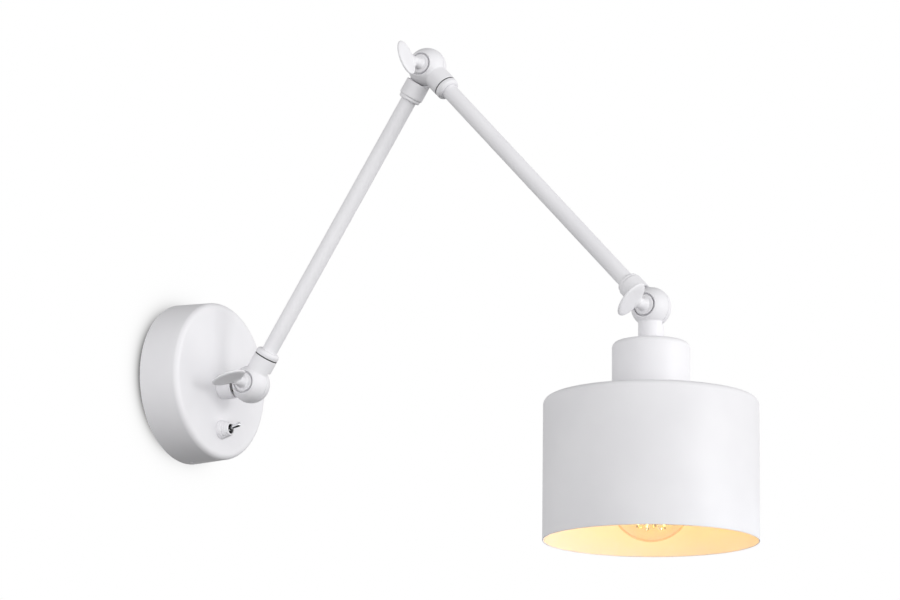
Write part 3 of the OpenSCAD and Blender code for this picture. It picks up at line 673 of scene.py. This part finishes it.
wing_screw("base_wing", "base_wing_screw", base_centre, "base_wing", 17)
wing_screw("elbow_wing", "elbow_wing_screw", elbow_centre, "elbow_wing", 107)
wing_screw("head_wing", "head_wing_screw", head_centre, "head_wing", 49)

# ---- Arms ---------------------------------------------------------------------------------------

TUBE_R, TUBE_WALL, TUBE_SEAT, TUBE_EASE = 6.0, 0.9, 24.2, 0.25
TUBE_RINGS = 40  # short faces, which shade evenly
CUFF_R, CUFF_START, CUFF_LENGTH, CUFF_ROUND, CUFF_FLOOR = 9.15, 24.4, 4.6, 2.4, 1.0  # the arm collars
NIPPLE_HOLE_R, TUBE_HOLE_R = 5.05, 6.05


def arm(prefix, centre, way, length, body):
    """Tube and lower collar of an arm, from its first knuckle's centre along its way."""
    place = axes(centre, way)
    top, floor = CUFF_START + CUFF_LENGTH, CUFF_START + CUFF_FLOOR
    start, end = floor + 0.05, length - TUBE_SEAT - 0.1
    straight = end - start - 2 * TUBE_EASE
    outside = [(TUBE_R, start + TUBE_EASE + straight * k / TUBE_RINGS) for k in range(TUBE_RINGS + 1)]
    inside = [(TUBE_R - TUBE_WALL, end - (end - start) * k / TUBE_RINGS) for k in range(TUBE_RINGS + 1)]
    profile = [(TUBE_R - TUBE_EASE, start)] + outside + [(TUBE_R - TUBE_EASE, end)] + inside
    turned(prefix + "_tube_drawn", profile, place, body, "white_paint", (prefix + "_tube",), 96)
    profile = (
        [(NIPPLE_HOLE_R, CUFF_START), (CUFF_R - 0.35, CUFF_START)]
        + [(CUFF_R - 0.1, CUFF_START + 0.1), (CUFF_R, CUFF_START + 0.35)]
        + arc(CUFF_R - CUFF_ROUND, top - CUFF_ROUND, CUFF_ROUND, 0, 90, 14)
        + [(TUBE_HOLE_R + 0.2, top), (TUBE_HOLE_R, top - 0.2)]
        + [(TUBE_HOLE_R, floor), (NIPPLE_HOLE_R, floor)]
    )
    turned(prefix + "_collar_turned", profile, place, body, "white_paint", (prefix + "_collar",), 128)


arm("lower_arm", base_centre, lower_way, (elbow_centre - base_centre).length / MM, "lower_arm")
arm("upper_arm", elbow_centre, upper_way, (head_centre - elbow_centre).length / MM, "upper_arm")

# ---- Shade, cap and bulb, as distances down from the head knuckle -------------------------------

head_place = axes(head_centre, DOWN)


def drum_profile(r, top, bottom, edge, wall, hole):
    """Section of a spun drum that is open below, with a round lip and a hole in its top."""
    lip = wall / 2
    outer = arc(r - edge, top + edge, edge, 0, -90, 18)
    inner = arc(r - edge, top + edge, edge - wall, -90, 0, 14)
    lower = arc(r - lip, bottom - lip, lip, 180, 0, 10)
    over = [(hole + (r - edge - hole) * k / 8, top) for k in range(7, 0, -1)]
    under = [(hole + (r - edge - hole) * k / 8, top + wall) for k in range(1, 8)]
    side_in = [(r - wall, top + edge + (bottom - lip - top - edge) * k / 6) for k in range(1, 6)]
    side_out = [(r, top + edge + (bottom - lip - top - edge) * k / 6) for k in range(5, 0, -1)]
    return outer + over + [(hole, top), (hole, top + wall)] + under + inner + side_in + lower + side_out


def drum(name, node, edge, wall, hole, segments):
    """Spun drum in the place of a CAD node of the head."""
    low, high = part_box(node)
    r, top, bottom = (high.x - low.x) / 2, head_centre.z - high.z, head_centre.z - low.z
    profile = drum_profile(r / MM, top / MM, bottom / MM, edge, wall, hole)
    turned(name, profile, head_place, "head", "white_paint", (node,), segments=segments)


drum("shade_drum", "shade", edge=5.0, wall=1.0, hole=19.9, segments=256)
drum("cap_drum", "shade_cap", edge=4.5, wall=1.2, hole=5.2, segments=160)

# Lit filaments: rods that lean outwards, with metal ends on a star of carrier wires
ROD_TOP, ROD_BOTTOM, ROD_LEAN, ROD_R, ROD_IN = 122.0, 160.0, math.radians(10), 0.75, 3.6
FITTING_LENGTH, WIRE_R_TOP, WIRE_R_BOTTOM = 2.0, 0.25, 0.22
rod_length = (ROD_BOTTOM - ROD_TOP) / math.cos(ROD_LEAN)
reach = ROD_IN + rod_length * math.sin(ROD_LEAN)
rod_profile = (
    [(0, 1.6)]
    + arc(ROD_R - 0.3, 1.9, 0.3, -90, 0, 3)
    + arc(ROD_R - 0.3, rod_length - 1.9, 0.3, 0, 90, 3)
    + [(0, rod_length - 1.6)]
)
wire_up = [(1.4, 0, ROD_TOP + 1), (2.4, 0, ROD_TOP + 0.2), (ROD_IN, 0, ROD_TOP + 0.6)]
wire_down = [
    (1.2, 0, ROD_TOP + 2.5),
    (1.9, 0, ROD_TOP + 15),
    (5.5, 0, ROD_BOTTOM - 1.6),
    (reach, 0, ROD_BOTTOM - 0.8),
]
rods, fittings = [], []
for quarter in range(4):
    turn = Matrix.Rotation(math.pi / 4 + quarter * math.pi / 2, 4, "Z")
    lean = turn @ Matrix.Translation((ROD_IN * MM, 0, ROD_TOP * MM)) @ Matrix.Rotation(ROD_LEAN, 4, "Y")
    rods.append((lathe(rod_profile, 24, closed=False), lean))
    for low in (0.0, rod_length - FITTING_LENGTH):
        high = low + FITTING_LENGTH
        end = [(0, low), (ROD_R, low + 0.15), (ROD_R, high - 0.15), (0, high)]
        fittings.append((lathe(end, 20, closed=False), lean))
    fittings += [(tube(wire_up, WIRE_R_TOP, 10), turn), (tube(wire_down, WIRE_R_BOTTOM, 10), turn)]
rod_bm = joined(*rods)
rod_bm.transform(head_place)
piece("filament_rods", to_mesh("filament_rods", rod_bm), "head", "filament", ("bulb_filament",))
fittings_bm = joined(*fittings)
fittings_bm.transform(head_place)
piece("filament_wires", to_mesh("filament_wires", fittings_bm), "head", "zinc_steel")

# ---- Wires in the canopy ------------------------------------------------------------------------

POLE_PITCH, POLE_DEPTH, POLE_END, TAB_DEPTH = 9.5, -8.45, 13.6, -8.6
CORE_END, CORE_LEAD, CORE_X = -16.9, -15.4, 1.0
WIRE_R, STRIPE_TURNS = 0.9, 0.4
switch_z = switch_place.z / MM
core_low = base_centre.z / MM - 0.6
core_high = base_centre.z / MM + 1.15
# Each run goes from a terminal pole or a core of the cable to its tab, as in the CAD: x, y, z in millimetres
routes = {
    "live_wires": (
        [
            (POLE_PITCH, POLE_DEPTH, POLE_END), (POLE_PITCH, POLE_DEPTH, 6),
            (14.5, -8, -6), (16.5, -7.5, -20), (12, -7.3, -31),
            (5, -8, switch_z + 4.8), (1.55, TAB_DEPTH, switch_z + 5),
        ],
        [
            (CORE_X, CORE_END, core_low), (CORE_X, CORE_LEAD, core_low),
            (2, -13, -7), (6, -10.6, -13.5), (10.5, -10.4, -26), (10.8, -10, -38),
            (7, -9, switch_z - 5.2), (1.55, TAB_DEPTH, switch_z - 5),
        ],
    ),
    "neutral_wire": (
        [
            (0, POLE_DEPTH, POLE_END), (0, POLE_DEPTH, 7), (-0.2, -11, -0.2),
            (0, CORE_END + 3.2, core_high + 0.5), (0, CORE_LEAD, core_high), (0, CORE_END, core_high),
        ],
    ),
    "earth_wire": (
        [
            (-POLE_PITCH, POLE_DEPTH, POLE_END), (-POLE_PITCH, POLE_DEPTH, 6),
            (-9.2, -7, -4), (-8.7, -4.5, -11), (-8.2, -3.35, -16),
        ],
        [
            (-CORE_X, CORE_END, core_low), (-CORE_X, CORE_LEAD, core_low),
            (-2.4, -12.5, -5.8), (-5.3, -8, -8.4), (-5.2, -4.5, -12), (-5.9, -3.35, -16.4),
        ],
    ),
}
wire_slots = {"live_wires": "brown_wire", "neutral_wire": "blue_wire", "earth_wire": "earth_wire"}
for node, runs in routes.items():
    whole = bmesh.new()
    whole.verts.layers.float.new("stripe")
    for run in runs:
        pour(tube(run, WIRE_R, 20, STRIPE_TURNS), whole)
    piece(node + "_insulated", to_mesh(node, whole), "canopy", wire_slots[node], (node,))

# ---- Finishes of the CAD nodes that stay --------------------------------------------------------

for part in frame["record"]["subparts"]:
    node = nodes[part["node"]]
    if node.hide_render:
        continue
    finish = stem_glass if part["node"] == "bulb_stem" else finishes[part["material_slot"]]
    node.data.materials.clear()
    node.data.materials.append(finish)

# ---- Lamp, studio light and camera --------------------------------------------------------------


def lamp(name, kind, where, power, colour, aim_at=None, **settings):
    """A light of so many watts, turned towards the point it is aimed at."""
    data = bpy.data.lights.new(name, kind)
    data.energy, data.color = power, colour
    for key, value in settings.items():
        setattr(data, key, value)
    made = bpy.data.objects.new(name, data)
    made.location = where
    if aim_at is not None:
        made.rotation_mode = "QUATERNION"
        made.rotation_quaternion = (Vector(where) - Vector(aim_at)).to_track_quat("Z", "Y")
    scene.collection.objects.link(made)
    return made


# The bulb's own light, from the middle of its filaments
BULB_CENTRE = 141  # millimetres below the head knuckle
GLOW_WATTS, GLOW_COLOUR, GLOW_R = 0.18, (1.0, 0.51, 0.04), 0.012
bulb_glow = lamp(
    "bulb_glow",
    "POINT",
    head_place @ Vector((0, 0, BULB_CENTRE * MM)),
    GLOW_WATTS,
    GLOW_COLOUR,
    shadow_soft_size=GLOW_R,
)
bulb_glow.visible_camera = False
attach(bulb_glow, "head")

# Soft light from straight ahead
FRONT_PLACE, FRONT_WATTS, FRONT_SIZE = Vector((0.0, -2.6, 0.35)), 14.0, 0.7
lamp(
    "front_soft",
    "AREA",
    FRONT_PLACE,
    FRONT_WATTS,
    (1, 1, 1),
    aim_at=(0, -0.03, 0),
    shape="SQUARE",
    size=FRONT_SIZE,
)

# Low soft light from the left that brightens the canopy's side
KICKER_PLACE, KICKER_AIM, KICKER_WATTS = Vector((-1.05, -0.66, -0.3)), Vector((-0.02, -0.02, 0.0)), 52.0
lamp(
    "canopy_kicker",
    "SPOT",
    KICKER_PLACE,
    KICKER_WATTS,
    (1, 1, 1),
    aim_at=KICKER_AIM,
    shadow_soft_size=0.32,
    spot_size=math.radians(20),
    spot_blend=1.0,
)

# Cool light from below on the right, through the mouth onto the left of the shade's inside
MOUTH_FROM, MOUTH_AIM = Vector((0.36, -0.6, -1.12)), Vector((-0.008, 0.012, -0.165))
MOUTH_WATTS, MOUTH_COLOUR = 54.0, (0.85, 0.92, 1.0)
mouth_fill = lamp(
    "mouth_fill",
    "SPOT",
    head_centre + MOUTH_FROM,
    MOUTH_WATTS,
    MOUTH_COLOUR,
    aim_at=head_centre + MOUTH_AIM,
    shadow_soft_size=0.05,
    spot_size=math.radians(6.2),
    spot_blend=0.5,
)
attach(mouth_fill, "head")

world = bpy.data.worlds.new("studio")
scene.world = world
world.use_nodes = True
world.node_tree.nodes.clear()
sky = Tree(world.node_tree)

# Soft studio light: a brightness that changes smoothly with direction, as even + slopes + curves
SKY_EVEN, SKY_X, SKY_Y, SKY_Z = 0.826, -0.062, -0.221, -0.269
SKY_XX, SKY_ZZ, SKY_XY, SKY_XZ, SKY_YZ = -0.055, -0.890, -0.002, 0.056, 0.027
SKY_BELOW, SKY_BELOW_Z, SKY_ABOVE_Z = 0.05, -0.75, -0.05  # share left straight below, and its fade
x, y, z = sky.split(sky.add("ShaderNodeTexCoord").outputs["Generated"])
level = SKY_EVEN - (SKY_XX + SKY_ZZ) / 3
for amount, first, second in (
    (SKY_X, x, 1.0),
    (SKY_Y, y, 1.0),
    (SKY_Z, z, 1.0),
    (SKY_XX, x, x),
    (SKY_ZZ, z, z),
    (SKY_XY, x, y),
    (SKY_XZ, x, z),
    (SKY_YZ, y, z),
):
    level = sky.math("MULTIPLY_ADD", sky.math("MULTIPLY", first, second), amount, level)
below = sky.between(z, SKY_BELOW, 1.0, SKY_BELOW_Z, SKY_ABOVE_Z)
level = sky.math("MAXIMUM", sky.math("MULTIPLY", level, below), 0.0)
studio = sky.add("ShaderNodeBackground", Color=(1, 1, 1, 1), Strength=level)
plain = sky.add("ShaderNodeBackground", Color=(1, 1, 1, 1), Strength=1.0)
is_seen = sky.add("ShaderNodeLightPath").outputs["Is Camera Ray"]
sky.add("ShaderNodeOutputWorld", Surface=sky.mix(is_seen, studio, plain).outputs[0])


def wall_shadow():
    """The canopy's soft contact shadow on the white wall, strongest on its left. It only darkens what
    lies behind it, and only from the front, so that it never hides the lamp's back."""
    m = Nodes("wall_shadow", (1, 1, 1), 1.0)
    x, _, z = m.split(m.place)
    reach = m.length(m.add("ShaderNodeCombineXYZ", X=x, Z=z).outputs[0])
    away = m.math("SUBTRACT", reach, CANOPY_R * MM)
    fade = m.math("POWER", math.e, m.math("DIVIDE", away, -SHADOW_REACH * MM))
    left = m.math("MAXIMUM", m.math("DIVIDE", x, m.math("MULTIPLY", reach, -1.0)), 0.0)
    depth = m.math("MULTIPLY_ADD", m.math("MULTIPLY", left, left), SHADOW_LEFT, SHADOW_ALL)
    shown = m.math("SUBTRACT", 1.0, m.math("MULTIPLY", depth, fade))
    behind = m.add("ShaderNodeNewGeometry").outputs["Backfacing"]
    level = m.math("MAXIMUM", m.math("POWER", shown, SCREEN_GAMMA), behind)
    shade = m.add("ShaderNodeCombineXYZ", X=level, Y=level, Z=level).outputs[0]
    return m.surface(m.add("ShaderNodeBsdfTransparent", Color=shade))


def floor_white():
    """Pale floor that glows and fades to the plain backdrop, seen only from above. It lights nothing."""
    m = Nodes("floor_white", (1, 1, 1), 1.0)
    m.material.cycles.emission_sampling = "NONE"
    far = m.between(m.length(m.place), 0, 1, FLOOR_FADE_START, FLOOR_FADE_END)
    glow = m.add("ShaderNodeEmission", Color=m.shades(far, FLOOR_NEAR, (1, 1, 1), 0.0, 1.0))
    through = m.add("ShaderNodeBsdfTransparent", Color=(1, 1, 1, 1))
    below_it = m.add("ShaderNodeNewGeometry").outputs["Backfacing"]
    return m.surface(m.mix(below_it, glow, through))


def stage_plate(name, r_in, r_out, place, material):
    """Flat ring of the backdrop, which the lamp's own light and shadows pass by."""
    bm = lathe([(r_in, 0), (r_out, 0)], AROUND, closed=False)
    for face in bm.faces:
        face.normal_update()
        if face.normal.z < 0:
            face.normal_flip()
    bm.transform(place)
    plate = bpy.data.objects.new(name, to_mesh(name, bm))
    plate.data.materials.append(material)
    plate.visible_diffuse = plate.visible_glossy = plate.visible_shadow = False
    scene.collection.objects.link(plate)


# Backdrop, in millimetres where not said
WALL_GAP, WALL_HOLE_R = 0.15, CANOPY_R - 0.9
SHADOW_REACH, SHADOW_END = 4.5, 110  # nothing of the shadow is left at its end's radius
SHADOW_ALL, SHADOW_LEFT = 0.07, 0.42  # shares of white
SCREEN_GAMMA = 2.2
FLOOR_Z, FLOOR_R, FLOOR_HOLE_R = -1600, 7000, 0.001
FLOOR_NEAR, FLOOR_FADE_START, FLOOR_FADE_END = (0.9, 0.9, 0.905), 0.5, 4.0  # fades in metres
stage_plate("wall", WALL_HOLE_R, SHADOW_END, axes((0, WALL_GAP * MM, 0), OUT), wall_shadow())
stage_plate("floor", FLOOR_HOLE_R, FLOOR_R, Matrix.Translation((0, 0, FLOOR_Z * MM)), floor_white())

# Camera at the photo's angle: azimuth from straight ahead, elevation, and a slight roll
AZIMUTH, ELEVATION, ROLL = math.radians(-58.74), math.radians(-12.4), math.radians(0.71)
CAMERA_PLACE, CAMERA_LENS = Vector((-2.267, -1.61307, -0.54048)), 146.6
back = Vector(
    (math.sin(AZIMUTH) * math.cos(ELEVATION), -math.cos(AZIMUTH) * math.cos(ELEVATION), math.sin(ELEVATION))
)
level_right = Vector((math.cos(AZIMUTH), math.sin(AZIMUTH), 0))
level_up = back.cross(level_right)
right = math.cos(ROLL) * level_right + math.sin(ROLL) * level_up
upward = -math.sin(ROLL) * level_right + math.cos(ROLL) * level_up
camera = bpy.data.objects.new("camera", bpy.data.cameras.new("camera"))
scene.collection.objects.link(camera)
camera.data.sensor_width, camera.data.lens = 36, CAMERA_LENS
camera.data.clip_start, camera.data.clip_end = 0.05, 60
turn = Matrix((right, upward, back)).transposed().to_4x4()
camera.matrix_world = Matrix.Translation(CAMERA_PLACE) @ turn
scene.camera = camera
scene.view_settings.view_transform = "Standard"
